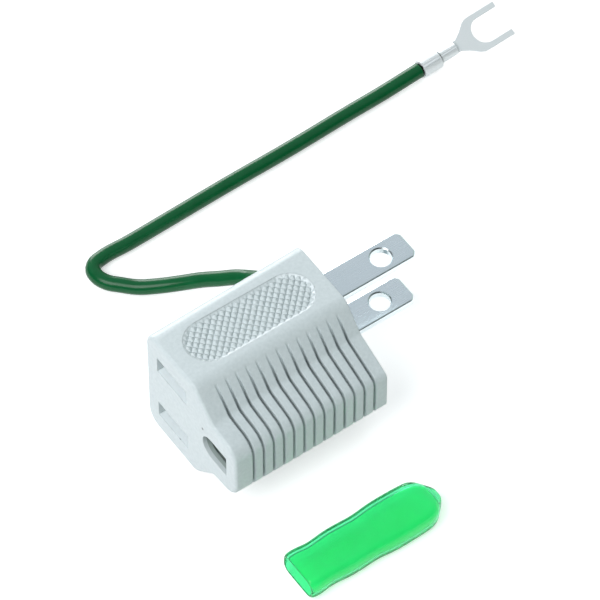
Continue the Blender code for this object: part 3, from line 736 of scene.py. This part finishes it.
def cap_piece():
    """The soft cap: outside, mouth lip and inside as one skin, smoothed."""
    sizes = [
        (-CAP_LENGTH * along / 100, CAP_WIDTH * wide / 100, CAP_HEIGHT * high / 100)
        for along, wide, high in CAP_STATIONS
    ]
    rings = [cap_ring(*size) for size in sizes]
    for x, width, height in reversed(sizes):
        if -x > CAP_WALL:
            rings.append(cap_ring(x, width - 2 * CAP_WALL, height - 2 * CAP_WALL))
    bm = bmesh.new()
    loops = [[bm.verts.new(point) for point in ring] for ring in rings]
    for near, far in zip(loops, loops[1:]):
        bridge(bm, near, far)
    bm.faces.new(loops[0])
    bm.faces.new(loops[-1])
    mesh = closed_mesh("soft_cap", bm)
    mesh.shade_smooth()
    cap = bpy.data.objects.new("soft_cap", mesh)
    cap.location = CAP_PLACE
    soften = cap.modifiers.new("soften", "SUBSURF")
    soften.levels = CAP_SMOOTHING
    soften.render_levels = CAP_SMOOTHING
    link(cap, cap_green())
    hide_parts("terminal_cap")


def camera():
    """The photograph's view: rotation about the object, distance and framing."""
    back = Vector(
        (
            math.sin(AZIMUTH) * math.cos(ELEVATION),
            -math.cos(AZIMUTH) * math.cos(ELEVATION),
            math.sin(ELEVATION),
        )
    )
    level = Vector((math.cos(AZIMUTH), math.sin(AZIMUTH), 0))
    upright = back.cross(level)
    right = level * math.cos(ROLL) + upright * math.sin(ROLL)
    up = upright * math.cos(ROLL) - level * math.sin(ROLL)
    data = bpy.data.cameras.new("camera")
    data.sensor_width = SENSOR
    data.lens = FOCAL_PIXELS / FRAME_PIXELS * SENSOR
    data.clip_start = NEAREST_SEEN
    data.clip_end = FARTHEST_SEEN
    obj = bpy.data.objects.new("camera", data)
    turn = Matrix((right, up, back)).transposed().to_4x4()
    target = right * ASIDE + up * ABOVE
    obj.matrix_world = Matrix.Translation(target + back * DISTANCE) @ turn
    bpy.context.scene.collection.objects.link(obj)
    bpy.context.scene.camera = obj


def area_light(name, place, size, power):
    """A round soft lamp that faces the object."""
    data = bpy.data.lights.new(name, "AREA")
    data.shape = "DISK"
    data.size = size
    data.energy = power
    obj = bpy.data.objects.new(name, data)
    obj.rotation_euler = (-Vector(place)).to_track_quat("-Z", "Y").to_euler()
    obj.location = place
    bpy.context.scene.collection.objects.link(obj)


def is_ray(tree, *kinds):
    """1 for rays of the named kinds, else 0."""
    path = tree.nodes.new("ShaderNodeLightPath")
    share = path.outputs[kinds[0]]
    for kind in kinds[1:]:
        share = maths(tree, "MAXIMUM", share, path.outputs[kind])
    return share


def floor():
    """A white floor that keeps a faint shadow."""
    mesh = bpy.data.meshes.new("floor")
    half = FLOOR_HALF_SIZE
    corners = [(-half, -half, 0), (half, -half, 0), (half, half, 0), (-half, half, 0)]
    mesh.from_pydata(corners, [], [(0, 1, 2, 3)])
    obj = bpy.data.objects.new("floor", mesh)
    obj.location.z = FLOOR - FLOOR_DROP
    made, tree, surface = new_material("floor_white")
    seen = is_ray(tree, "Is Camera Ray", "Is Glossy Ray", "Is Transmission Ray")
    finish = {
        "Base Color": FLOOR_COLOUR,
        "Roughness": 0.9,
        "Emission Color": WHITE,
        "Emission Strength": spread(tree, seen, 0.0, FLOOR_GLOW),
    }
    put_all(tree, surface, finish)
    mesh.materials.append(made)
    bpy.context.scene.collection.objects.link(obj)


def world():
    """A soft sky, brightest overhead and behind the object; white where it is seen directly."""
    made = bpy.data.worlds.new("studio")
    made.use_nodes = True
    tree = made.node_tree
    place = tree.nodes.new("ShaderNodeTexCoord").outputs["Generated"]
    shares = []
    for bright, dark_from in (
        (SKY_BRIGHT, SKY_DARK_FROM),
        (SKY_BRIGHT_MIRRORED, SKY_DARK_FROM_MIRRORED),
    ):
        direction = Vector(bright).normalized()
        towards = vector_maths(tree, "DOT_PRODUCT", place, direction, "Value")
        shares.append(spread(tree, towards, 0.0, 1.0, dark_from, SKY_FULL_FROM, smooth=True))
    lit = spread(tree, shares[0], *SKY_LIGHT)
    mirrored = spread(tree, shares[1], *SKY_MIRRORED)
    level = mixed(tree, is_ray(tree, "Is Glossy Ray"), lit, mirrored, "VALUE")
    tint = mixed(tree, shares[0], SKY_LOW_COLOUR, SKY_HIGH_COLOUR)
    seen = is_ray(tree, "Is Camera Ray", "Is Transmission Ray")
    finish = {
        "Color": mixed(tree, seen, tint, WHITE),
        "Strength": mixed(tree, seen, level, 1.0, "VALUE"),
    }
    put_all(tree, tree.nodes["Background"], finish)
    bpy.context.scene.world = made


camera()
world()
floor()
area_light("key", KEY_PLACE, KEY_SIZE, KEY_POWER)
area_light("back", BACK_PLACE, BACK_SIZE, BACK_POWER)

plastic = grey_plastic("grey_plastic", dark=(0.57, 0.64, 0.65), light=(0.74, 0.805, 0.82))
# A paler copy of the grey plastic: painted highlight on the panel banks' near side and right end
painted_highlight_plastic = grey_plastic("plastic_painted_highlight", dark=(0.80, 0.87, 0.89), light=(0.88, 0.94, 0.96))
nickel = plated(
    "nickel", dark=(0.80, 0.88, 0.91), light=(0.85, 0.92, 0.95), rough=0.26, edge=0.0
)
tinned = plated(
    "tinned",
    dark=(0.93, 0.97, 0.985),
    light=(0.96, 0.99, 1.0),
    rough=0.42,
    edge=0.0001,
    metal=0.25,
)
brass = plated(
    "brass", dark=(0.60, 0.43, 0.18), light=(0.72, 0.54, 0.26), rough=0.34, edge=0.00005
)
steel = plated(
    "steel", dark=(0.45, 0.46, 0.48), light=(0.55, 0.56, 0.58), rough=0.36, edge=0.00005
)
copper = plated(
    "copper", dark=(0.70, 0.36, 0.22), light=(0.80, 0.46, 0.30), rough=0.36, edge=0.0
)

dress(["housing"], plastic)
dress(["blade_upper", "blade_lower"], nickel)
dress(["leaf_outer_upper", "leaf_inner_upper", "leaf_outer_lower", "leaf_inner_lower"], brass)
dress(["ground_contact"], brass)
dress(["rivet_upper", "rivet_lower"], steel)
dress(["conductor_inner", "conductor_outer"], copper)
dress(["fork_terminal"], tinned)
grip_reliefs(plastic, painted_highlight_plastic)
crimp_seams(tinned)
wire_piece()
cap_piece()

bpy.context.scene.view_settings.view_transform = "Standard"
